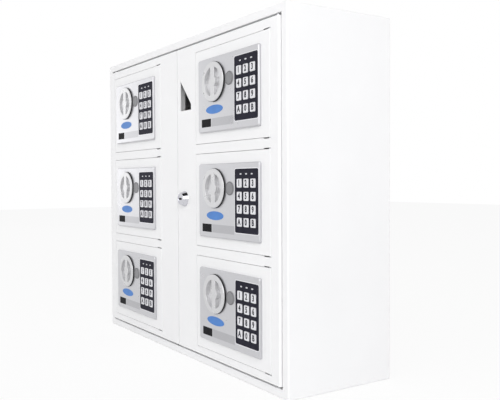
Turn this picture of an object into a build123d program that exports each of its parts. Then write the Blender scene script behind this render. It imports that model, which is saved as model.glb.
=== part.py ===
from build123d import *
import os
from math import cos, radians, sin, sqrt

# Key dispenser: a steel wall cabinet with two leaves, each carrying three small locked doors.
# X runs along the front, Y into the cabinet and Z up. The origin is the centre of the base.

os.makedirs("parts", exist_ok=True)

# Cabinet shell of folded sheet
width = 550.0
height = 500.0
depth = 180.0
shell_sheet = 1.5
shell_bend = 2.0
frame_width = 11.5
collar_depth = 14.0
wall_hole_d = 9.0
wall_hole_inset_x = 50.0
wall_hole_inset_z = 50.0

# Leaves: shallow pans that stand a little proud of the front frame
leaf_sheet = 1.5
leaf_depth = 13.2
leaf_proud = 3.0
leaf_bend = 2.5
side_gap = 1.6
end_gap = 4.0
seam_gap = 1.2
leaf_pin_d = 4.0
leaf_pin_in_x = 10.0
leaf_pin_in_y = 7.0
leaf_pin_grip = 6.0
leaf_pin_stand = 4.0

# Six openings for the small doors, three in each leaf, set out by the margins around them
seam_margin = 56.4
hinge_margin = 17.4
top_margin = 12.8
bottom_margin = 10.8
row_margin = 14.2
notch_length = 16.0
notch_rise = 1.2

# Small doors: pans flush with the leaf
door_sheet = 1.2
door_depth = 12.0
door_gap = 0.6
door_bend = 2.0
door_pin_d = 4.0
door_pin_in_x = 4.6
door_pin_in_y = 3.6
door_pin_grip = 8.0
door_pin_stand = 3.0

# Compartments: open boxes behind the openings
box_sheet = 1.0
box_depth = 112.0
box_room = 2.0
bolt_end_room = 1.1
stop_reach = 5.0
stop_gap = 0.5

# Lock panel on each small door
panel_w = 153.0
panel_h = 107.0
panel_t = 4.0
panel_off_centre = 2.75
panel_corner = 3.0
panel_edge = 1.3

# Knob with a dished face and a grip bar across it
knob_d = 57.0
knob_gap = 1.75
knob_drop = 35.6
knob_stand = 3.0
knob_edge = 1.0
knob_lip = 0.5
knob_floor = 1.6
dish_d = 45.0
dish_wall = 1.5
grip_w = 10.0
hub_d = 17.0
spindle_d = 8.0
crank_d = 22.0
crank_t = 2.0
crank_pin_d = 4.0

# Round cover over the emergency keyhole
cap_d = 19.5
cap_gap = 3.55
cap_stand = 1.0
cap_stub_d = 14.0
cap_stub = 3.0
keyhole_d = 12.0
keyhole_slot_w = 2.0
keyhole_slot_h = 8.0
keyhole_slot_deep = 6.0

# Keypad plate and the silicone keymat behind it
pad_rim = 4.8
pad_head = 20.3
pad_foot = 13.6
pad_t = 1.2
pad_corner = 3.0
pad_side = 3.3
pad_drop = 8.0
key_w = 11.0
key_h = 12.0
key_corner = 1.4
key_edge = 0.3
key_pitch_x = 16.0
key_pitch_z = 17.7
key_columns = 3
key_rows = 4
key_stand = 0.9
key_travel = 0.8
mat_t = 0.8
mat_rim = 2.5

# Bolt and the case of the lock mechanism behind each small door
bolt_throw = 10.0
bolt_h = 14.0
bolt_t = 6.0
bolt_tail_t = 3.0
bolt_tip = 0.6
bolt_web = 4.0
case_inset = 8.0
case_w = 142.0
case_h = 94.0
case_depth = 25.8
case_wall = 2.0
case_corner = 4.0

# Cam lock in the right leaf
cam_x = 21.0
cam_head_d = 24.5
cam_face_d = 18.0
cam_head_h = 8.0
cam_head_edge = 0.6
cam_barrel_d = 19.0
barrel_past_leaf = 2.0
cam_nut_af = 24.0
cam_nut_t = 5.0
plug_d = 12.0
plug_sunk = 0.4
key_slot_w = 8.5
key_slot_h = 3.2
key_slot_deep = 8.0
cam_reach = 35.0
cam_w = 14.0
cam_t = 2.0

# Slide bolts that hold the left leaf shut
rod_d = 7.0
rod_x = 14.0
rod_in_y = 8.6
rod_length = 72.0
rod_throw = 12.0
rod_tip = 1.0
rod_hole_d = 8.0
lug_w = 16.0
lug_h = 6.0
lug_first = 12.0
lug_spacing = 44.0
peg_d = 5.0
peg_length = 10.0

# Triangular slot that keys are returned through
slot_inset = 9.4
slot_w = 33.0
slot_h = 48.0
slot_toe = 8.7
slot_drop = 49.0

# Fits
running = 0.05
slip = 0.1
clear = 0.3

# Places worked out from the sizes above. A front is how far a face stands ahead of the origin.
frame_front = depth / 2
leaf_front = frame_front + leaf_proud
leaf_back = leaf_front - leaf_sheet
leaf_inner = seam_gap / 2
leaf_outer = width / 2 - frame_width - side_gap
leaf_w = leaf_outer - leaf_inner
leaf_low = frame_width + end_gap
leaf_top = height - frame_width - end_gap
leaf_h = leaf_top - leaf_low
leaf_mid_x = (leaf_inner + leaf_outer) / 2
leaf_pin_x = leaf_outer - leaf_pin_in_x
leaf_pin_front = leaf_front - leaf_pin_in_y
leaf_rear = leaf_front - leaf_depth

opening_w = leaf_w - seam_margin - hinge_margin
opening_h = (leaf_h - top_margin - bottom_margin - 2 * row_margin) / 3
row_zs = [leaf_top - top_margin - opening_h / 2 - row * (opening_h + row_margin) for row in range(3)]
column_x = leaf_inner + seam_margin + opening_w / 2
door_w = opening_w - 2 * door_gap
door_h = opening_h - 2 * door_gap
door_back = leaf_front - door_sheet
door_rear = leaf_front - door_depth
door_pin_x = door_w / 2 - door_pin_in_x
door_pin_front = leaf_front - door_pin_in_y

panel_front = leaf_front + panel_t
keys_w = key_pitch_x * (key_columns - 1) + key_w
keys_drop = key_pitch_z * (key_rows - 1)
pad_w = keys_w + 2 * pad_rim
pad_h = pad_head + keys_drop + pad_foot
pad_mid_x = panel_w / 2 - panel_off_centre - pad_side - pad_w / 2
pad_mid_z = panel_h / 2 - pad_drop - pad_h / 2
keys_mid_z = panel_h / 2 - pad_drop - pad_head - keys_drop / 2
keyhole_x = pad_mid_x - pad_w / 2 - cap_gap - cap_d / 2
lock_x = keyhole_x - cap_d / 2 - knob_gap - knob_d / 2
lock_z = panel_h / 2 - knob_drop
mat_w = keys_w + 2 * mat_rim
mat_h = keys_drop + key_h + 2 * mat_rim
mat_front = panel_front - pad_t - slip
mat_room = pad_t + slip + mat_t + key_travel + clear

crank_r = bolt_throw / sqrt(2)
crank_front = door_back - clear
bolt_front = crank_front - crank_t - clear
nose_front = min(door_back, leaf_back) - clear
bolt_back = nose_front - bolt_t
bolt_room = bolt_throw - door_gap - bolt_tip + bolt_end_room
recess_d = dish_d - 2 * dish_wall

cam_z = height / 2
rod_front = leaf_front - rod_in_y


def front_plane(front):
    """The plane facing forwards whose face stands this far ahead of the origin."""
    return Plane.XZ.offset(front)


def level_plane(z):
    """The level plane at this height."""
    return Plane.XY.offset(z)


def write(part, name):
    """Labels a finished piece and writes it as one STEP file."""
    part.label = name
    export_step(part, "parts/" + name + ".step")


def rounds(plane, spots, diameter):
    """A sketch with a round outline on each spot of a plane."""
    with BuildSketch(plane, mode=Mode.PRIVATE) as outlines:
        with Locations(*spots):
            Circle(diameter / 2)
    return outlines.sketch


def outline(front):
    """A sketch of the cabinet's whole outline, this far ahead of the origin."""
    with BuildSketch(front_plane(front), mode=Mode.PRIVATE) as whole:
        with Locations((0, height / 2)):
            Rectangle(width, height)
    return whole.sketch


def return_slot():
    """A sketch of the three-sided slot with a blunt toe in the right leaf."""
    left = leaf_inner + slot_inset
    low = leaf_top - slot_drop - slot_h
    with BuildSketch(front_plane(leaf_front), mode=Mode.PRIVATE) as slot:
        with BuildLine():
            Polyline(
                (left, low),
                (left + slot_w, low),
                (left + slot_w, low + slot_toe),
                (left, low + slot_h),
                close=True,
            )
        make_face()
    return slot.sketch


def cabinet():
    """The shell: a folded wrap, a front frame with a collar behind it, and a back panel, welded together."""
    mouth_w = width - 2 * frame_width
    mouth_h = height - 2 * frame_width
    wrap_front = frame_front - shell_sheet
    with BuildPart() as block:
        extrude(outline(frame_front), amount=-depth)
        fillet(block.edges(), radius=shell_bend)
    with BuildPart() as frame:
        add(block.part)
        extrude(outline(frame_front), amount=-shell_sheet, mode=Mode.INTERSECT)
        with BuildSketch(front_plane(frame_front)):
            with Locations((0, height / 2)):
                Rectangle(mouth_w + 2 * shell_sheet, mouth_h + 2 * shell_sheet)
        extrude(amount=-collar_depth)
        with BuildSketch(front_plane(frame_front)):
            with Locations((0, height / 2)):
                Rectangle(mouth_w, mouth_h)
        extrude(amount=-collar_depth, mode=Mode.SUBTRACT)
        pin_spots = [(side * leaf_pin_x, -leaf_pin_front) for side in (-1, 1)]
        rod_spots = [(-rod_x, -rod_front)]
        for level in (frame_width - shell_sheet, height - frame_width):
            pin_holes = rounds(level_plane(level), pin_spots, leaf_pin_d + 2 * running)
            rod_hole = rounds(level_plane(level), rod_spots, rod_hole_d)
            extrude(pin_holes + rod_hole, amount=shell_sheet, mode=Mode.SUBTRACT)
    with BuildPart() as wrap:
        add(block.part)
        extrude(outline(wrap_front), amount=-(depth - 2 * shell_sheet), mode=Mode.INTERSECT)
        with BuildSketch(front_plane(wrap_front)):
            with Locations((0, height / 2)):
                Rectangle(width - 2 * shell_sheet, height - 2 * shell_sheet)
        extrude(amount=-(depth - 2 * shell_sheet), mode=Mode.SUBTRACT)
    with BuildPart() as back:
        add(block.part)
        extrude(outline(-wrap_front), amount=-shell_sheet, mode=Mode.INTERSECT)
        with BuildSketch(front_plane(-frame_front)):
            with Locations((0, height / 2)):
                with GridLocations(width - 2 * wall_hole_inset_x, height - 2 * wall_hole_inset_z, 2, 2):
                    Circle(wall_hole_d / 2)
        extrude(amount=shell_sheet, mode=Mode.SUBTRACT)
    write(Compound(frame.part.solids() + wrap.part.solids() + back.part.solids()), "cabinet_shell")

    with BuildPart() as pins:
        length = leaf_pin_grip + end_gap + leaf_pin_stand
        for level in (leaf_top - leaf_pin_grip, leaf_low + leaf_pin_grip - length):
            extrude(rounds(level_plane(level), pin_spots, leaf_pin_d), amount=length)
    write(pins.part, "leaf_hinge_pins")


def leaf(side, name):
    """One leaf: a pan with three door openings, a notch above and below each hinge edge."""
    with BuildPart() as pan:
        with BuildSketch(front_plane(leaf_front)):
            with Locations((side * leaf_mid_x, (leaf_low + leaf_top) / 2)):
                Rectangle(leaf_w, leaf_h)
        extrude(amount=-leaf_depth)
        outer_edge = pan.edges().filter_by(Axis.Z).group_by(Axis.Y)[0].sort_by(Axis.X)
        fillet(outer_edge[-1] if side > 0 else outer_edge[0], radius=leaf_bend)
        rear = pan.faces().sort_by(Axis.Y)[-1]
        offset(amount=-leaf_sheet, openings=rear)
        with BuildSketch(front_plane(leaf_front)):
            with Locations(*[(side * column_x, z) for z in row_zs]):
                Rectangle(opening_w, opening_h)
            notch_x = side * column_x + opening_w / 2 - notch_length / 2
            with Locations(*[(notch_x, z) for z in row_zs]):
                Rectangle(notch_length, opening_h + 2 * notch_rise)
        extrude(amount=-leaf_sheet, mode=Mode.SUBTRACT)
        pin_spots = [(side * leaf_pin_x, -leaf_pin_front)]
        for level in (leaf_low, leaf_top - leaf_sheet):
            pin_hole = rounds(level_plane(level), pin_spots, leaf_pin_d + 2 * running)
            extrude(pin_hole, amount=leaf_sheet, mode=Mode.SUBTRACT)
        if side > 0:
            barrel_hole = rounds(front_plane(leaf_front), [(cam_x, cam_z)], cam_barrel_d + 2 * running)
            extrude(return_slot() + barrel_hole, amount=-leaf_sheet, mode=Mode.SUBTRACT)
        else:
            lug_insets = (lug_first, lug_first + lug_spacing)
            with BuildSketch(front_plane(leaf_back)):
                with Locations(*[(-rod_x, leaf_low + inset) for inset in lug_insets]):
                    Rectangle(lug_w, lug_h)
                with Locations(*[(-rod_x, leaf_top - inset) for inset in lug_insets]):
                    Rectangle(lug_w, lug_h)
            extrude(amount=-(leaf_back - rod_front + rod_d))
            rod_bore = rounds(level_plane(leaf_low), [(-rod_x, -rod_front)], rod_d + 2 * slip)
            extrude(rod_bore, amount=leaf_h, mode=Mode.SUBTRACT)
    write(pan.part, name)


def compartments(side, boxes_name, pins_name):
    """Three open boxes behind a leaf, each with a stop for its door beside the bolt."""
    left_room = bolt_room + box_sheet
    right_room = box_room + box_sheet
    outer_w = opening_w + left_room + right_room
    outer_h = opening_h + 2 * (box_room + box_sheet)
    mid_x = side * column_x + (right_room - left_room) / 2
    stop_w = bolt_room + stop_reach
    stop_x = side * column_x - opening_w / 2 - bolt_room + stop_w / 2
    with BuildPart() as boxes:
        with BuildSketch(front_plane(leaf_back)):
            with Locations(*[(mid_x, z) for z in row_zs]):
                Rectangle(outer_w, outer_h)
        extrude(amount=-box_depth)
        with BuildSketch(front_plane(leaf_back)):
            with Locations(*[(mid_x, z) for z in row_zs]):
                Rectangle(outer_w - 2 * box_sheet, outer_h - 2 * box_sheet)
        extrude(amount=-(box_depth - box_sheet), mode=Mode.SUBTRACT)
        with BuildSketch(front_plane(door_rear - stop_gap)):
            with Locations(*[(stop_x, z) for z in row_zs]):
                Rectangle(stop_w, outer_h - 2 * box_sheet)
        extrude(amount=-box_sheet)
        spots = [(side * column_x + door_pin_x, -door_pin_front)]
        for z in row_zs:
            for level in (z - outer_h / 2, z + outer_h / 2 - box_sheet):
                pin_hole = rounds(level_plane(level), spots, door_pin_d + 2 * running)
                extrude(pin_hole, amount=box_sheet, mode=Mode.SUBTRACT)
    write(boxes.part, boxes_name)

    with BuildPart() as pins:
        length = door_pin_grip + door_gap + box_room + box_sheet + door_pin_stand
        for z in row_zs:
            for level in (z + door_h / 2 - door_pin_grip, z - door_h / 2 + door_pin_grip - length):
                extrude(rounds(level_plane(level), spots, door_pin_d), amount=length)
    write(pins.part, pins_name)


def cam_lock():
    """The cam lock: a bezel with its barrel and clamping nut, and the plug that turns the cam."""
    barrel_rear = leaf_rear - barrel_past_leaf
    with BuildPart() as body:
        with BuildSketch(front_plane(leaf_front)):
            with Locations((cam_x, cam_z)):
                Circle(cam_head_d / 2)
        with BuildSketch(front_plane(leaf_front + cam_head_h)):
            with Locations((cam_x, cam_z)):
                Circle(cam_face_d / 2)
        loft()
        fillet(body.faces().sort_by(Axis.Y)[0].edges(), radius=cam_head_edge)
        with BuildSketch(front_plane(leaf_front)):
            with Locations((cam_x, cam_z)):
                Circle(cam_barrel_d / 2)
        extrude(amount=-(leaf_front - barrel_rear))
        with BuildSketch(front_plane(leaf_back)):
            with Locations((cam_x, cam_z)):
                RegularPolygon(cam_nut_af / 2, 6, major_radius=False)
        extrude(amount=-cam_nut_t)
        with BuildSketch(front_plane(leaf_front + cam_head_h)):
            with Locations((cam_x, cam_z)):
                Circle(plug_d / 2 + running)
        extrude(amount=-(leaf_front + cam_head_h - barrel_rear), mode=Mode.SUBTRACT)
    write(body.part, "cam_lock_body")

    plug_front = leaf_front + cam_head_h - plug_sunk
    cam_front = barrel_rear - clear
    with BuildPart() as plug:
        with BuildSketch(front_plane(plug_front)):
            with Locations((cam_x, cam_z)):
                Circle(plug_d / 2)
        extrude(amount=-(plug_front - cam_front))
        with BuildSketch(front_plane(plug_front)):
            with Locations((cam_x, cam_z)):
                Rectangle(key_slot_w, key_slot_h)
        extrude(amount=-key_slot_deep, mode=Mode.SUBTRACT)
        with BuildSketch(front_plane(cam_front)):
            with Locations((cam_x, cam_z - cam_reach / 2)):
                SlotOverall(cam_reach + cam_w, cam_w, rotation=90)
        extrude(amount=-cam_t)
    write(plug.part, "cam_lock_plug")


def slide_bolt(end, name):
    """One slide bolt of the left leaf, drawn back, with a peg to push it by."""
    tip_z = leaf_top - rod_tip if end > 0 else leaf_low + rod_tip
    low_z = tip_z - rod_length if end > 0 else tip_z
    between = lug_first + (lug_spacing + rod_throw) / 2
    peg_z = leaf_top - between if end > 0 else leaf_low + between
    with BuildPart() as rod:
        extrude(rounds(level_plane(low_z), [(-rod_x, -rod_front)], rod_d), amount=rod_length)
        with BuildSketch(front_plane(rod_front)):
            with Locations((-rod_x, peg_z)):
                Circle(peg_d / 2)
        extrude(amount=-(rod_d / 2 + peg_length))
    write(rod.part, name)


def door_panel():
    """The small door: a pan bored for its pins, its knob, the keyhole and the bolt."""
    with BuildPart() as pan:
        with BuildSketch(front_plane(leaf_front)):
            Rectangle(door_w, door_h)
        extrude(amount=-door_depth)
        hinge_edge = pan.edges().filter_by(Axis.Z).group_by(Axis.Y)[0].sort_by(Axis.X)[-1]
        fillet(hinge_edge, radius=door_bend)
        rear = pan.faces().sort_by(Axis.Y)[-1]
        offset(amount=-door_sheet, openings=rear)
        with BuildSketch(front_plane(leaf_front)):
            with Locations((lock_x, lock_z)):
                Circle(spindle_d / 2 + running)
            with Locations((keyhole_x, lock_z)):
                Circle(keyhole_d / 2 + clear)
        extrude(amount=-door_sheet, mode=Mode.SUBTRACT)
        pin_spots = [(door_pin_x, -door_pin_front)]
        for level in (-door_h / 2, door_h / 2 - door_sheet):
            pin_hole = rounds(level_plane(level), pin_spots, door_pin_d + 2 * running)
            extrude(pin_hole, amount=door_sheet, mode=Mode.SUBTRACT)
        with BuildSketch(Plane.YZ.offset(-door_w / 2)):
            with Locations((-(nose_front + bolt_back) / 2, lock_z)):
                Rectangle(bolt_t + 2 * slip, bolt_h + 2 * slip)
        extrude(amount=door_sheet, mode=Mode.SUBTRACT)
    return pan.part


def lock_panel():
    """The moulded panel on the door, cut for the knob's dish, the keyhole and the keypad."""
    with BuildPart() as panel:
        with BuildSketch(front_plane(leaf_front)):
            with Locations((-panel_off_centre, 0)):
                RectangleRounded(panel_w, panel_h, panel_corner)
        extrude(amount=panel_t)
        chamfer(panel.faces().sort_by(Axis.Y)[0].edges(), length=panel_edge)
        with BuildSketch(front_plane(leaf_front)):
            with Locations((lock_x, lock_z)):
                Circle(dish_d / 2 + clear)
            with Locations((keyhole_x, lock_z)):
                Circle(cap_stub_d / 2 + clear)
        extrude(amount=panel_t, mode=Mode.SUBTRACT)
        with BuildSketch(front_plane(panel_front)):
            with Locations((pad_mid_x, pad_mid_z)):
                RectangleRounded(pad_w + 2 * slip, pad_h + 2 * slip, pad_corner + slip)
        extrude(amount=-pad_t, mode=Mode.SUBTRACT)
        with BuildSketch(front_plane(panel_front)):
            with Locations((pad_mid_x, keys_mid_z)):
                Rectangle(mat_w + 2 * clear, mat_h + 2 * clear)
        extrude(amount=-mat_room, mode=Mode.SUBTRACT)
    return panel.part


def keypad():
    """The keypad plate with a window for each key."""
    with BuildPart() as plate:
        with BuildSketch(front_plane(panel_front)):
            with Locations((pad_mid_x, pad_mid_z)):
                RectangleRounded(pad_w, pad_h, pad_corner)
            with Locations((pad_mid_x, keys_mid_z)):
                with GridLocations(key_pitch_x, key_pitch_z, key_columns, key_rows):
                    RectangleRounded(
                        key_w + 2 * clear, key_h + 2 * clear, key_corner + clear, mode=Mode.SUBTRACT
                    )
        extrude(amount=-pad_t)
    return plate.part


def keymat():
    """The one-piece silicone keymat: a web with the twelve keys standing on it."""
    with BuildPart() as mat:
        with BuildSketch(front_plane(mat_front)):
            with Locations((pad_mid_x, keys_mid_z)):
                Rectangle(mat_w, mat_h)
        extrude(amount=-mat_t)
        with BuildSketch(front_plane(mat_front)):
            with Locations((pad_mid_x, keys_mid_z)):
                with GridLocations(key_pitch_x, key_pitch_z, key_columns, key_rows):
                    RectangleRounded(key_w, key_h, key_corner)
        extrude(amount=panel_front + key_stand - mat_front)
        chamfer(mat.faces().group_by(Axis.Y)[0].edges(), length=key_edge)
    return mat.part


def knob():
    """The knob: a rim, a dish with a grip bar and hub, and the spindle with its crank."""
    face = panel_front + clear + knob_stand
    dish_rear = leaf_front + clear
    pin_x = lock_x + crank_r * cos(radians(45))
    pin_z = lock_z - crank_r * sin(radians(45))
    with BuildPart() as turner:
        with BuildSketch(front_plane(face)):
            with Locations((lock_x, lock_z)):
                Circle(knob_d / 2)
        extrude(amount=-knob_stand)
        fillet(turner.faces().sort_by(Axis.Y)[0].edges(), radius=knob_edge)
        with BuildSketch(front_plane(panel_front + clear)):
            with Locations((lock_x, lock_z)):
                Circle(dish_d / 2)
        extrude(amount=-(panel_front + clear - dish_rear))
        with BuildSketch(front_plane(face)):
            with Locations((lock_x, lock_z)):
                Circle(recess_d / 2)
                Rectangle(grip_w, recess_d, mode=Mode.SUBTRACT)
                Circle(hub_d / 2, mode=Mode.SUBTRACT)
        extrude(amount=-(face - dish_rear - knob_floor), mode=Mode.SUBTRACT)
        rim_edges = turner.faces().sort_by(Axis.Y)[0].inner_wires().edges()
        fillet(rim_edges, radius=knob_lip)
        with BuildSketch(front_plane(dish_rear)):
            with Locations((lock_x, lock_z)):
                Circle(spindle_d / 2)
        extrude(amount=-(dish_rear - crank_front))
        with BuildSketch(front_plane(crank_front)):
            with Locations((lock_x, lock_z)):
                Circle(crank_d / 2)
        extrude(amount=-crank_t)
        with BuildSketch(front_plane(crank_front)):
            with Locations((pin_x, pin_z)):
                Circle(crank_pin_d / 2)
        extrude(amount=-(crank_front - bolt_front + bolt_tail_t))
    return turner.part


def key_cap():
    """The push-in cover over the emergency keyhole."""
    with BuildPart() as cap:
        with BuildSketch(front_plane(panel_front)):
            with Locations((keyhole_x, lock_z)):
                Circle(cap_d / 2)
        extrude(amount=cap_stand)
        chamfer(cap.faces().sort_by(Axis.Y)[0].edges(), length=cap_stand / 2)
        with BuildSketch(front_plane(panel_front)):
            with Locations((keyhole_x, lock_z)):
                Circle(cap_stub_d / 2)
        extrude(amount=-cap_stub)
    return cap.part


def door_bolt():
    """The bolt: a nose that passes the door's edge and a tail slotted for the crank pin."""
    tip_x = -door_w / 2 + bolt_tip
    nose_end = lock_x - crank_d / 2 - bolt_throw
    slot_x = lock_x + crank_r * cos(radians(45))
    slot_w = crank_pin_d + 8 * slip
    slot_top = lock_z - crank_r * cos(radians(45)) + crank_pin_d / 2 + clear
    slot_low = lock_z - crank_r - crank_pin_d / 2 - clear
    tail_end = slot_x + slot_w / 2 + bolt_web
    tail_low = slot_low - bolt_web
    tail_top = lock_z + bolt_h / 2
    with BuildPart() as bolt:
        with BuildSketch(front_plane(nose_front)):
            with Locations(((tip_x + nose_end) / 2, lock_z)):
                Rectangle(nose_end - tip_x, bolt_h)
        extrude(amount=-bolt_t)
        with BuildSketch(front_plane(bolt_front)):
            with Locations(((nose_end + tail_end) / 2, (tail_low + tail_top) / 2)):
                Rectangle(tail_end - nose_end, tail_top - tail_low)
            with Locations((slot_x, (slot_top + slot_low) / 2)):
                Rectangle(slot_w, slot_top - slot_low, mode=Mode.SUBTRACT)
        extrude(amount=-bolt_tail_t)
    return bolt.part


def lock_case():
    """The case over the mechanism and batteries, with the emergency lock's barrel in it."""
    case_mid_x = -opening_w / 2 + case_inset + case_w / 2
    case_left = case_mid_x - case_w / 2
    case_rear = door_back - case_depth
    with BuildPart() as case:
        with BuildSketch(front_plane(door_back)):
            with Locations((case_mid_x, 0)):
                RectangleRounded(case_w, case_h, case_corner)
        extrude(amount=-case_depth)
        with BuildSketch(front_plane(door_back)):
            with Locations((case_mid_x, 0)):
                RectangleRounded(case_w - 2 * case_wall, case_h - 2 * case_wall, case_corner - case_wall)
        extrude(amount=-(case_depth - case_wall), mode=Mode.SUBTRACT)
        with BuildSketch(front_plane(case_rear)):
            with Locations((keyhole_x, lock_z)):
                Circle(keyhole_d / 2)
        extrude(amount=leaf_front - case_rear)
        with BuildSketch(front_plane(leaf_front)):
            with Locations((keyhole_x, lock_z)):
                Rectangle(keyhole_slot_w, keyhole_slot_h)
        extrude(amount=-keyhole_slot_deep, mode=Mode.SUBTRACT)
        with BuildSketch(Plane.YZ.offset(case_left)):
            with Locations((-(nose_front + bolt_back) / 2, lock_z)):
                Rectangle(bolt_t + 2 * clear, bolt_h + 2 * clear)
        extrude(amount=case_wall, mode=Mode.SUBTRACT)
    return case.part


cabinet()
leaf(-1, "left_leaf")
leaf(1, "right_leaf")
compartments(-1, "left_compartments", "left_door_pins")
compartments(1, "right_compartments", "right_door_pins")
cam_lock()
slide_bolt(1, "upper_slide_bolt")
slide_bolt(-1, "lower_slide_bolt")

# Every small door is the same, so each of its pieces is made once and set into the six openings
door_set = {
    "door": door_panel(),
    "lock_panel": lock_panel(),
    "keypad": keypad(),
    "keymat": keymat(),
    "knob": knob(),
    "key_cap": key_cap(),
    "bolt": door_bolt(),
    "lock_case": lock_case(),
}
for column, side in (("left", -1), ("right", 1)):
    for row, z in zip(("top", "middle", "bottom"), row_zs):
        for piece, shape in door_set.items():
            write(shape.moved(Location((side * column_x, 0, z))), column + "_" + row + "_" + piece)
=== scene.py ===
import math

import bmesh
import bpy
from mathutils import Matrix, Vector


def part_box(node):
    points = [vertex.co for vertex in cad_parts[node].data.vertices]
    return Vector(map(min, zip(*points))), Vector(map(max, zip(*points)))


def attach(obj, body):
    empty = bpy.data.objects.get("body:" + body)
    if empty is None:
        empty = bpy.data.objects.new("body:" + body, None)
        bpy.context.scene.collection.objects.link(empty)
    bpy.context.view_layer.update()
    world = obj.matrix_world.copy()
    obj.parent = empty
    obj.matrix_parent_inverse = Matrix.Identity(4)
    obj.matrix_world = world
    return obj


# Key dispenser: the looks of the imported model. Lengths are metres, in the model's own frame.

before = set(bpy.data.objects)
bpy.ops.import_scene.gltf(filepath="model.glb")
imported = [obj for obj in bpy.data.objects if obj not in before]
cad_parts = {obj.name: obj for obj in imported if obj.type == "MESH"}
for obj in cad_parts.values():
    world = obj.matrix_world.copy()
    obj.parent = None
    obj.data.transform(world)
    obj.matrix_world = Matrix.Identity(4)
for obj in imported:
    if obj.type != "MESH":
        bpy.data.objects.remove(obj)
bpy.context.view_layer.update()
MM = 0.001

COLUMNS = ("left", "right")
ROWS = ("top", "middle", "bottom")
DOORS = [column + "_" + row for column in COLUMNS for row in ROWS]

# Lock panel details, measured from the panel's left, top and front
MARKER_X = 44.7 * MM
MARKER_DROP = 75.1 * MM
MARKER_W = 45.3 * MM
MARKER_H = 12.8 * MM
BAND_FROM = 37.5 * MM
BAND_TO = 94.1 * MM
BAND_DROP = 93.6 * MM
BAND_H = 11.7 * MM
BAND_CORNER = 0.4 * MM
PLATE_FROM = 10.0 * MM
PLATE_TO = 35.5 * MM
PLATE_CORNER = 0.6 * MM
FOIL_T = 0.12 * MM
FOIL_EASE = 0.036 * MM

# Keypad details
KEY_COLUMNS = 3
KEY_ROWS = 4
KEY_PITCH_X = 16.0 * MM
KEY_PITCH_Z = 17.7 * MM
KEY_SIGNS = ("123", "456", "789", "A0B")
SIGN_H = 8.0 * MM
SIGN_STRETCH = 0.84
SIGN_WEIGHT = 0.46 * MM
SIGN_T = 0.04 * MM
CAPITAL_SHARE = 0.72  # height of a capital in a font of size 1
LENS_PITCH = 13.0 * MM
LENS_DROP = 7.8 * MM
LENS_W = 4.2 * MM
LENS_H = 1.9 * MM
LENS_T = 0.3 * MM
LENS_EASE = 0.12 * MM
LENS_ROUNDING = 2.02  # height over corner radius; 2 would be a full half circle
OUTLINE_W = 0.9 * MM
FILM_CORNER = 3.0 * MM
FILM_INSET = 1.5 * MM
FILM_LAP_LEFT = 0.8 * MM
FILM_LAP_RIGHT = 1.6 * MM
FILM_LAP_TOP = -0.6 * MM
FILM_LAP_FOOT = 1.3 * MM

# Key slot of the cam lock, filled with a black block that is painted shade for the slot's dark depth
KEYWAY_W = 8.3 * MM
KEYWAY_H = 3.0 * MM
KEYWAY_T = 4.0 * MM
KEYWAY_SUNK = 0.5 * MM
KEYWAY_CORNER = 0.5 * MM
KEYWAY_EASE = 0.1 * MM

# Knob and keyhole cover
SKIRT_T = 0.35 * MM
SKIRT_H = 2.1 * MM
SKIRT_IN = 2.0 * MM
SKIRT_LIP = 0.1 * MM
SKIRT_EASE = 0.15 * MM
SKIRT_GAP = 0.05 * MM
CAP_RING_W = 0.9 * MM
CAP_RING_T = 0.15 * MM
CAP_RING_EDGE = 0.55 * MM
CIRCLE_STEPS = 96
RING_STEPS = 12


def principled(name, color, roughness, metallic=0.0, specular=0.5):
    """A material with its fixed values on the shader's own sockets."""
    made = bpy.data.materials.new(name)
    made.use_nodes = True
    shader = made.node_tree.nodes["Principled BSDF"]
    shader.inputs["Base Color"].default_value = (*color, 1.0)
    shader.inputs["Roughness"].default_value = roughness
    shader.inputs["Metallic"].default_value = metallic
    shader.inputs["Specular IOR Level"].default_value = specular
    return made


def noise(material, scale, detail=3.0):
    """A noise texture on the surface's own coordinates."""
    nodes, links = material.node_tree.nodes, material.node_tree.links
    place = nodes.new("ShaderNodeTexCoord")
    texture = nodes.new("ShaderNodeTexNoise")
    texture.inputs["Scale"].default_value = scale
    texture.inputs["Detail"].default_value = detail
    links.new(place.outputs["Object"], texture.inputs["Vector"])
    return texture


def tint(material, scale, dark, light):
    """Lets the base colour drift between two near shades."""
    nodes, links = material.node_tree.nodes, material.node_tree.links
    ramp = nodes.new("ShaderNodeValToRGB")
    ramp.color_ramp.elements[0].position = 0.35
    ramp.color_ramp.elements[0].color = (*dark, 1.0)
    ramp.color_ramp.elements[1].position = 0.65
    ramp.color_ramp.elements[1].color = (*light, 1.0)
    links.new(noise(material, scale).outputs["Fac"], ramp.inputs["Fac"])
    links.new(ramp.outputs["Color"], nodes["Principled BSDF"].inputs["Base Color"])


def polish(material, scale, low, high):
    """Lets the roughness drift between two values."""
    nodes, links = material.node_tree.nodes, material.node_tree.links
    spread = nodes.new("ShaderNodeMapRange")
    spread.inputs["From Min"].default_value = 0.3
    spread.inputs["From Max"].default_value = 0.7
    spread.inputs["To Min"].default_value = low
    spread.inputs["To Max"].default_value = high
    links.new(noise(material, scale).outputs["Fac"], spread.inputs["Value"])
    links.new(spread.outputs["Result"], nodes["Principled BSDF"].inputs["Roughness"])


def grain(material, scale, depth, strength):
    """Raises a fine grain of that depth on the surface."""
    nodes, links = material.node_tree.nodes, material.node_tree.links
    bump = nodes.new("ShaderNodeBump")
    bump.inputs["Strength"].default_value = strength
    bump.inputs["Distance"].default_value = depth
    links.new(noise(material, scale, detail=2.0).outputs["Fac"], bump.inputs["Height"])
    links.new(bump.outputs["Normal"], nodes["Principled BSDF"].inputs["Normal"])


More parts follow.
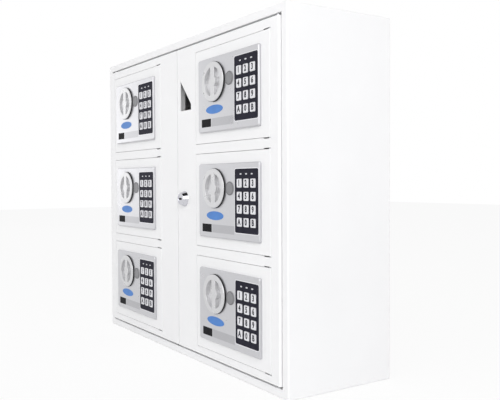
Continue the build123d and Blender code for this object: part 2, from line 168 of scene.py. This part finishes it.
def painted_steel():
    """White powder coat on sheet steel."""
    made = principled("white_powder_coat", (0.86, 0.86, 0.868), 0.55, specular=0.3)
    tint(made, 9.0, (0.852, 0.852, 0.860), (0.868, 0.868, 0.876))
    polish(made, 60.0, 0.5, 0.6)
    grain(made, 900.0, 0.02 * MM, 0.35)
    return made


def zinc_plate():
    """Bright zinc on the pins and bolts."""
    made = principled("bright_zinc", (0.62, 0.63, 0.65), 0.35, metallic=1.0)
    tint(made, 120.0, (0.56, 0.57, 0.58), (0.66, 0.67, 0.69))
    polish(made, 200.0, 0.28, 0.42)
    return made


def polished_chrome():
    """Polished chrome of the cam lock."""
    made = principled("polished_chrome", (0.62, 0.62, 0.66), 0.08, metallic=1.0)
    tint(made, 300.0, (0.60, 0.60, 0.64), (0.64, 0.64, 0.68))
    polish(made, 400.0, 0.05, 0.13)
    return made


def silver_paint(name, dark, light, low, high, flakes):
    """Fine silver paint on a moulding, with that share of metal flakes."""
    made = principled(name, light, high, metallic=flakes, specular=0.5)
    tint(made, 1500.0, dark, light)
    polish(made, 40.0, low, high)
    grain(made, 1800.0, 0.01 * MM, 0.25)
    return made


def keypad_film():
    """The keypad's matt black film."""
    made = principled("keypad_film", (0.022, 0.021, 0.032), 0.5, specular=0.04)
    tint(made, 150.0, (0.019, 0.019, 0.029), (0.025, 0.024, 0.036))
    polish(made, 300.0, 0.46, 0.56)
    grain(made, 2500.0, 0.008 * MM, 0.3)
    return made


def moulding(name, color, drift, low, high, scale=1200.0, depth=0.015, specular=0.4):
    """Plain moulded plastic, rubber or print: a colour that drifts a little, with a fine grain."""
    made = principled(name, color, high, specular=specular)
    tint(made, 80.0, tuple(c * (1 - drift) for c in color), tuple(min(1.0, c * (1 + drift)) for c in color))
    polish(made, 90.0, low, high)
    grain(made, scale, depth * MM, 0.3)
    return made


STEEL = painted_steel()
ZINC = zinc_plate()
CHROME = polished_chrome()
PANEL = silver_paint("silver_panel_paint", (0.555, 0.555, 0.577), (0.595, 0.595, 0.615), 0.27, 0.33, 0.75)
KNOB = silver_paint("silver_knob_paint", (0.60, 0.60, 0.612), (0.64, 0.64, 0.65), 0.26, 0.32, 0.45)
FILM = keypad_film()
KEYS = moulding("white_keys", (0.74, 0.74, 0.77), 0.02, 0.5, 0.6)
CAP = moulding("grey_cover", (0.245, 0.245, 0.255), 0.05, 0.45, 0.55, specular=0.3)
# The cover's rim: a grey darker than the cover, partly painted shade for the dark edge round the cover
CAP_RIM_SHADE = moulding("grey_cover_rim_painted_shade", (0.150, 0.150, 0.157), 0.05, 0.45, 0.55, specular=0.3)
CASE = moulding("black_case", (0.030, 0.030, 0.033), 0.15, 0.5, 0.62, scale=900.0, depth=0.04)
SKIRT = moulding("black_skirt", (0.012, 0.012, 0.013), 0.15, 0.5, 0.6, specular=0.15)
INK = moulding("black_numbers", (0.02, 0.02, 0.03), 0.1, 0.55, 0.65, specular=0.1)
BLUE = moulding("blue_marker", (0.08, 0.22, 0.56), 0.04, 0.4, 0.5, specular=0.2)
BAND = silver_paint("grey_band", (0.43, 0.43, 0.45), (0.47, 0.47, 0.49), 0.27, 0.33, 0.75)
# Black of the printed plate below the knob; the same black fills the cam lock's key slot as painted shade
BLACK_PRINT_AND_SLOT_SHADE = moulding("black_plate_and_slot_shade", (0.010, 0.010, 0.012), 0.1, 0.55, 0.65, specular=0.08)
LENS = moulding("clear_lamp", (0.62, 0.63, 0.66), 0.03, 0.2, 0.3)
OUTLINE = moulding("pale_outline", (0.83, 0.83, 0.86), 0.02, 0.35, 0.45)


def dress(node, material):
    """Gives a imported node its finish."""
    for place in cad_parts[node].material_slots:
        place.material = material


def mesh_piece(name, build, material, body):
    """A piece whose mesh build() fills in, riding a body, with its finish's slot."""
    shape = bmesh.new()
    build(shape)
    bmesh.ops.recalc_face_normals(shape, faces=shape.faces[:])
    data = bpy.data.meshes.new(name)
    shape.to_mesh(data)
    shape.free()
    piece = bpy.data.objects.new(name, data)
    bpy.context.scene.collection.objects.link(piece)
    piece.data.materials.append(material)
    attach(piece, body)


def rounded_outline(cx, cz, w, h, corner, steps=6):
    """Points round a rectangle with rounded corners, as (x, z) pairs."""
    points = []
    for turn, (sx, sz) in enumerate(((1, 1), (-1, 1), (-1, -1), (1, -1))):
        for step in range(steps + 1):
            angle = math.pi / 2 * (turn + step / steps)
            x = cx + sx * (w / 2 - corner) + corner * math.cos(angle)
            z = cz + sz * (h / 2 - corner) + corner * math.sin(angle)
            points.append((x, z))
    return points


def ellipse(cx, cz, half_w, half_h, steps=CIRCLE_STEPS):
    """Points round an ellipse, as (x, z) pairs."""
    turns = [math.tau * n / steps for n in range(steps)]
    return [(cx + half_w * math.cos(turn), cz + half_h * math.sin(turn)) for turn in turns]


def circle(cx, cz, radius):
    """Points round a circle, as (x, z) pairs."""
    return ellipse(cx, cz, radius, radius)


def loop(shape, points, y):
    """A ring of vertices at one depth."""
    return [shape.verts.new((x, y, z)) for x, z in points]


def skin(shape, rings):
    """Faces between rings that have as many vertices as each other."""
    for a, b in zip(rings, rings[1:]):
        for n in range(len(a)):
            m = (n + 1) % len(a)
            shape.faces.new((a[n], a[m], b[m], b[n]))


def print_plate(shape, points_at, y, height, ease):
    """A thin closed plate on a face, with an eased edge. points_at(inset) gives the outline."""
    rings = [
        loop(shape, points_at(0.0), y),
        loop(shape, points_at(0.0), y - height + ease),
        loop(shape, points_at(ease), y - height),
    ]
    skin(shape, rings)
    shape.faces.new(rings[0])
    shape.faces.new(rings[-1])


def add_plate(name, door, centre, outline, material):
    """A thin plate laid on a door's lock panel. outline(x, z, inset) gives its points."""
    low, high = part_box(door + "_lock_panel")
    cx, cz = low.x + centre[0], high.z - centre[1]

    def build(shape):
        print_plate(shape, lambda inset: outline(cx, cz, inset), low.y, FOIL_T, FOIL_EASE)

    mesh_piece(door + name, build, material, door + "_door")


def add_panel_marks(door):
    """The plain blue marker, the black plate and the grey band below the knob."""
    def oval(cx, cz, inset):
        return ellipse(cx, cz, MARKER_W / 2 - inset, MARKER_H / 2 - inset)

    def strip(width, corner):
        def outline(cx, cz, inset):
            return rounded_outline(cx, cz, width - 2 * inset, BAND_H - 2 * inset, corner - inset)

        return outline

    add_plate("_marker", door, (MARKER_X, MARKER_DROP), oval, BLUE)
    plate = strip(PLATE_TO - PLATE_FROM, PLATE_CORNER)
    add_plate("_plate", door, ((PLATE_FROM + PLATE_TO) / 2, BAND_DROP), plate, BLACK_PRINT_AND_SLOT_SHADE)
    band = strip(BAND_TO - BAND_FROM, BAND_CORNER)
    add_plate("_band", door, ((BAND_FROM + BAND_TO) / 2, BAND_DROP), band, BAND)


def flat_ring(shape, inner, outer, face, rise, ease):
    """A flat closed ring on a face between two outlines, each given as centre, size and corner."""

    def ring(outline, out, y):
        cx, cz, w, h, corner = outline
        return loop(shape, rounded_outline(cx, cz, w + 2 * out, h + 2 * out, corner + out, RING_STEPS), y)

    rings = [
        ring(inner, 0.0, face),
        ring(inner, 0.0, face - rise + ease),
        ring(inner, ease, face - rise),
        ring(outer, -ease, face - rise),
        ring(outer, 0.0, face - rise + ease),
        ring(outer, 0.0, face),
    ]
    skin(shape, rings + rings[:1])


def add_keypad_trim(door):
    """The keypad's film where it laps onto the panel, the pale outline round it, and three small lenses."""
    low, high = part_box(door + "_keypad")
    cx, cz = (low.x + high.x) / 2, (low.z + high.z) / 2
    w, h = high.x - low.x, high.z - low.z
    film_x = cx + (FILM_LAP_RIGHT - FILM_LAP_LEFT) / 2
    film_z = cz + (FILM_LAP_TOP - FILM_LAP_FOOT) / 2
    film_w = w + FILM_LAP_LEFT + FILM_LAP_RIGHT
    film_h = h + FILM_LAP_TOP + FILM_LAP_FOOT
    window = (cx, cz, w - 2 * FILM_INSET, h - 2 * FILM_INSET, FILM_CORNER - FILM_INSET)
    film = (film_x, film_z, film_w, film_h, FILM_CORNER)
    edge = (film_x, film_z, film_w + 2 * OUTLINE_W, film_h + 2 * OUTLINE_W, FILM_CORNER + OUTLINE_W)

    def lap(shape):
        flat_ring(shape, window, film, low.y, FOIL_T, FOIL_EASE)

    def outline(shape):
        flat_ring(shape, film, edge, low.y, FOIL_T, FOIL_EASE)

    mesh_piece(door + "_keypad_film", lap, FILM, door + "_door")
    mesh_piece(door + "_keypad_outline", outline, OUTLINE, door + "_door")

    def lenses(shape):
        for place in (-1, 0, 1):

            def lens(inset):
                lens_w, lens_h = LENS_W - 2 * inset, LENS_H - 2 * inset
                centre = (cx + place * LENS_PITCH, high.z - LENS_DROP)
                return rounded_outline(*centre, lens_w, lens_h, lens_h / LENS_ROUNDING, 5)

            print_plate(shape, lens, low.y, LENS_T, LENS_EASE)

    mesh_piece(door + "_lamps", lenses, LENS, door + "_door")


def sign_mesh():
    """The twelve signs of a keypad as one flat-topped mesh around the middle of the keys."""
    parts = []
    for row, signs in enumerate(KEY_SIGNS):
        for column, sign in enumerate(signs):
            text = bpy.data.curves.new("sign", "FONT")
            text.body = sign
            text.size = SIGN_H / CAPITAL_SHARE
            text.extrude = SIGN_T
            text.offset = SIGN_WEIGHT
            text.align_x = "CENTER"
            text.align_y = "CENTER"
            text.resolution_u = 3
            carrier = bpy.data.objects.new("sign", text)
            bpy.context.scene.collection.objects.link(carrier)
            view = bpy.context.evaluated_depsgraph_get()
            data = bpy.data.meshes.new_from_object(carrier.evaluated_get(view))
            bpy.data.objects.remove(carrier)
            x = (column - (KEY_COLUMNS - 1) / 2) * KEY_PITCH_X
            z = ((KEY_ROWS - 1) / 2 - row) * KEY_PITCH_Z
            stand = Matrix.Rotation(math.radians(90), 4, "X")
            data.transform(Matrix.Translation((x, 0, z)) @ stand @ Matrix.Diagonal((SIGN_STRETCH, 1, 1, 1)))
            parts.append(data)
    joined = bmesh.new()
    for data in parts:
        joined.from_mesh(data)
        bpy.data.meshes.remove(data)
    whole = bpy.data.meshes.new("key_numbers")
    joined.to_mesh(whole)
    joined.free()
    whole.materials.clear()
    whole.materials.append(INK)
    return whole


def add_key_numbers(door, signs):
    """The printed numbers on a keypad's keys."""
    low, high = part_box(door + "_keymat")
    piece = bpy.data.objects.new(door + "_key_numbers", signs)
    piece.location = ((low.x + high.x) / 2, low.y, (low.z + high.z) / 2)
    bpy.context.scene.collection.objects.link(piece)
    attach(piece, door + "_keymat")


def add_keyway():
    """A black block in the cam lock's key slot: painted shade for the slot's dark depth."""
    low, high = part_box("cam_lock_body")
    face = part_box("cam_lock_plug")[0].y + KEYWAY_SUNK
    cx, cz = (low.x + high.x) / 2, (low.z + high.z) / 2

    def build(shape):
        def slot(inset):
            return rounded_outline(cx, cz, KEYWAY_W - 2 * inset, KEYWAY_H - 2 * inset, KEYWAY_CORNER - inset)

        print_plate(shape, slot, face + KEYWAY_T, KEYWAY_T, KEYWAY_EASE)

    mesh_piece("cam_lock_keyway", build, BLACK_PRINT_AND_SLOT_SHADE, "cam_plug")


def add_knob_skirt(door):
    """The black skirt round the side of the knob."""
    low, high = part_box(door + "_knob")
    cx, cz = (low.x + high.x) / 2, (low.z + high.z) / 2
    radius = (high.x - low.x) / 2
    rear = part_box(door + "_lock_panel")[0].y - SKIRT_GAP

    def build(shape):
        rings = [
            loop(shape, circle(cx, cz, radius - SKIRT_LIP), rear - SKIRT_H),
            loop(shape, circle(cx, cz, radius + SKIRT_T), rear - SKIRT_H + SKIRT_EASE),
            loop(shape, circle(cx, cz, radius + SKIRT_T), rear),
            loop(shape, circle(cx, cz, radius - SKIRT_IN), rear),
        ]
        skin(shape, rings + rings[:1])

    mesh_piece(door + "_knob_skirt", build, SKIRT, door + "_knob")


def add_cap_ring(door):
    """The raised rim of the round cover over the emergency keyhole, in a darker grey that is partly painted
    shade for the dark edge of the cover.
    """
    low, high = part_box(door + "_key_cap")
    cx, cz = (low.x + high.x) / 2, (low.z + high.z) / 2
    outer_d = high.x - low.x - 2 * CAP_RING_EDGE
    inner_d = outer_d - 2 * CAP_RING_W

    def build(shape):
        inner = (cx, cz, inner_d, inner_d, inner_d / 2)
        outer = (cx, cz, outer_d, outer_d, outer_d / 2)
        flat_ring(shape, inner, outer, low.y, CAP_RING_T, FOIL_EASE)

    mesh_piece(door + "_cap_ring", build, CAP_RIM_SHADE, door + "_key_cap")


def dress_nodes():
    """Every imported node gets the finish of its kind."""
    for node in ("cabinet_shell", "left_leaf", "right_leaf", "left_compartments", "right_compartments"):
        dress(node, STEEL)
    pins = ("leaf_hinge_pins", "left_door_pins", "right_door_pins")
    for node in (*pins, "upper_slide_bolt", "lower_slide_bolt"):
        dress(node, ZINC)
    dress("cam_lock_body", CHROME)
    dress("cam_lock_plug", CHROME)
    for door in DOORS:
        dress(door + "_door", STEEL)
        dress(door + "_lock_panel", PANEL)
        dress(door + "_keypad", FILM)
        dress(door + "_keymat", KEYS)
        dress(door + "_knob", KNOB)
        dress(door + "_key_cap", CAP)
        dress(door + "_bolt", ZINC)
        dress(door + "_lock_case", CASE)


dress_nodes()
key_signs = sign_mesh()
for door in DOORS:
    add_panel_marks(door)
    add_keypad_trim(door)
    add_key_numbers(door, key_signs)
    add_knob_skirt(door)
    add_cap_ring(door)
add_keyway()

# Camera, set up from the perspective of the cabinet's edges
CAMERA_AT = Vector((0.91849, -0.60352, 0.27641))
CAMERA_YAW = math.radians(58.592)
CAMERA_PITCH = math.radians(-1.585)
CAMERA_ROLL = math.radians(-0.384)
FOCAL_PIXELS = 658.04
AXIS_PIXEL_X = 205.0
IMAGE_WIDTH = 500.0
SENSOR = 36.0
CLIP_NEAR = 0.02
CLIP_FAR = 50.0


def add_camera():
    """The camera at the photograph's angle, with its framing."""
    data = bpy.data.cameras.new("camera")
    data.sensor_width = SENSOR
    data.lens = FOCAL_PIXELS * SENSOR / IMAGE_WIDTH
    data.shift_x = (IMAGE_WIDTH / 2 - AXIS_PIXEL_X) / IMAGE_WIDTH
    data.clip_start = CLIP_NEAR
    data.clip_end = CLIP_FAR
    level = math.cos(CAMERA_PITCH)
    ahead = Vector((-math.sin(CAMERA_YAW) * level, math.cos(CAMERA_YAW) * level, math.sin(CAMERA_PITCH)))
    right = ahead.cross(Vector((0, 0, 1))).normalized()
    up = right.cross(ahead)
    rolled_right = right * math.cos(CAMERA_ROLL) + up * math.sin(CAMERA_ROLL)
    rolled_up = up * math.cos(CAMERA_ROLL) - right * math.sin(CAMERA_ROLL)
    turned = Matrix((rolled_right, rolled_up, -ahead)).transposed().to_4x4()
    camera = bpy.data.objects.new("camera", data)
    camera.matrix_world = Matrix.Translation(CAMERA_AT) @ turned
    bpy.context.scene.collection.objects.link(camera)
    bpy.context.scene.camera = camera


# Studio. A lamp is its name, place, size and power
FLOOR_SIZE = 12.0
FLOOR_DROP = 0.0005
FLOOR_GREY = 0.9
FLOOR_GLOW = 0.88
WORLD_LEVEL = 0.62
LAMP_AIM = Vector((0.0, 0.0, 0.25))
LAMPS = (
    ("front_lamp", (1.2, -2.4, 1.8), 3.2, 28.0),
    ("side_lamp", (2.5, -1.15, 1.3), 1.8, 29.3),
    ("left_lamp", (-3.5, -1.0, 0.55), 1.2, 7.0),
)
CARD_AT = (0.15, -0.2, 1.5)
CARD_W = 1.7
CARD_D = 0.5


def seen_directly(nodes, links):
    """1 for rays that show the background itself, in the picture, in metal or through glass."""
    path = nodes.new("ShaderNodeLightPath")
    glossy = nodes.new("ShaderNodeMath")
    glossy.operation = "MAXIMUM"
    both = nodes.new("ShaderNodeMath")
    both.operation = "MAXIMUM"
    links.new(path.outputs["Is Camera Ray"], glossy.inputs[0])
    links.new(path.outputs["Is Glossy Ray"], glossy.inputs[1])
    links.new(glossy.outputs[0], both.inputs[0])
    links.new(path.outputs["Is Transmission Ray"], both.inputs[1])
    return both.outputs[0]


def add_world():
    """White all round, at a soft level where it lights the object."""
    world = bpy.data.worlds.new("studio")
    world.use_nodes = True
    nodes, links = world.node_tree.nodes, world.node_tree.links
    nodes.clear()
    soft = nodes.new("ShaderNodeBackground")
    soft.inputs["Color"].default_value = (1.0, 1.0, 1.0, 1.0)
    soft.inputs["Strength"].default_value = WORLD_LEVEL
    white = nodes.new("ShaderNodeBackground")
    white.inputs["Color"].default_value = (1.0, 1.0, 1.0, 1.0)
    white.inputs["Strength"].default_value = 1.0
    mix = nodes.new("ShaderNodeMixShader")
    out = nodes.new("ShaderNodeOutputWorld")
    links.new(seen_directly(nodes, links), mix.inputs["Fac"])
    links.new(soft.outputs[0], mix.inputs[1])
    links.new(white.outputs[0], mix.inputs[2])
    links.new(mix.outputs[0], out.inputs["Surface"])
    bpy.context.scene.world = world


def stage_sheet(name, w, d, at, material):
    """A flat level sheet of the studio."""
    x, y = w / 2, d / 2
    data = bpy.data.meshes.new(name)
    data.from_pydata([(-x, -y, 0), (x, -y, 0), (x, y, 0), (-x, y, 0)], [], [(0, 1, 2, 3)])
    data.materials.append(material)
    sheet = bpy.data.objects.new(name, data)
    sheet.location = at
    bpy.context.scene.collection.objects.link(sheet)
    return sheet


def add_floor():
    """A plain pale floor that keeps the object's shadow."""
    made = bpy.data.materials.new("pale_floor")
    made.use_nodes = True
    nodes, links = made.node_tree.nodes, made.node_tree.links
    nodes.clear()
    matt = nodes.new("ShaderNodeBsdfDiffuse")
    matt.inputs["Color"].default_value = (FLOOR_GREY, FLOOR_GREY, FLOOR_GREY, 1.0)
    glow = nodes.new("ShaderNodeEmission")
    glow.inputs["Strength"].default_value = 1.0
    share = nodes.new("ShaderNodeMath")
    share.operation = "MULTIPLY"
    share.inputs[1].default_value = FLOOR_GLOW
    mix = nodes.new("ShaderNodeMixShader")
    out = nodes.new("ShaderNodeOutputMaterial")
    links.new(seen_directly(nodes, links), share.inputs[0])
    links.new(share.outputs[0], mix.inputs["Fac"])
    links.new(matt.outputs[0], mix.inputs[1])
    links.new(glow.outputs[0], mix.inputs[2])
    links.new(mix.outputs[0], out.inputs["Surface"])
    stage_sheet("floor", FLOOR_SIZE, FLOOR_SIZE, (0, 0, -FLOOR_DROP), made)


def add_lamps():
    """Soft square lamps in front and at the side, and one far to the left that the panels there mirror."""
    for name, at, size, power in LAMPS:
        data = bpy.data.lights.new(name, "AREA")
        data.shape = "SQUARE"
        data.size = size
        data.energy = power
        lamp = bpy.data.objects.new(name, data)
        lamp.location = at
        lamp.rotation_euler = (LAMP_AIM - Vector(at)).to_track_quat("-Z", "Y").to_euler()
        bpy.context.scene.collection.objects.link(lamp)


def add_card():
    """A black card overhead that only mirrors show, so that polished metal has something dark in it."""
    card = stage_sheet("high_card", CARD_W, CARD_D, CARD_AT, SKIRT)
    card.visible_camera = False
    card.visible_diffuse = False
    card.visible_shadow = False


add_camera()
add_world()
add_floor()
add_lamps()
add_card()
bpy.context.scene.view_settings.view_transform = "Standard"
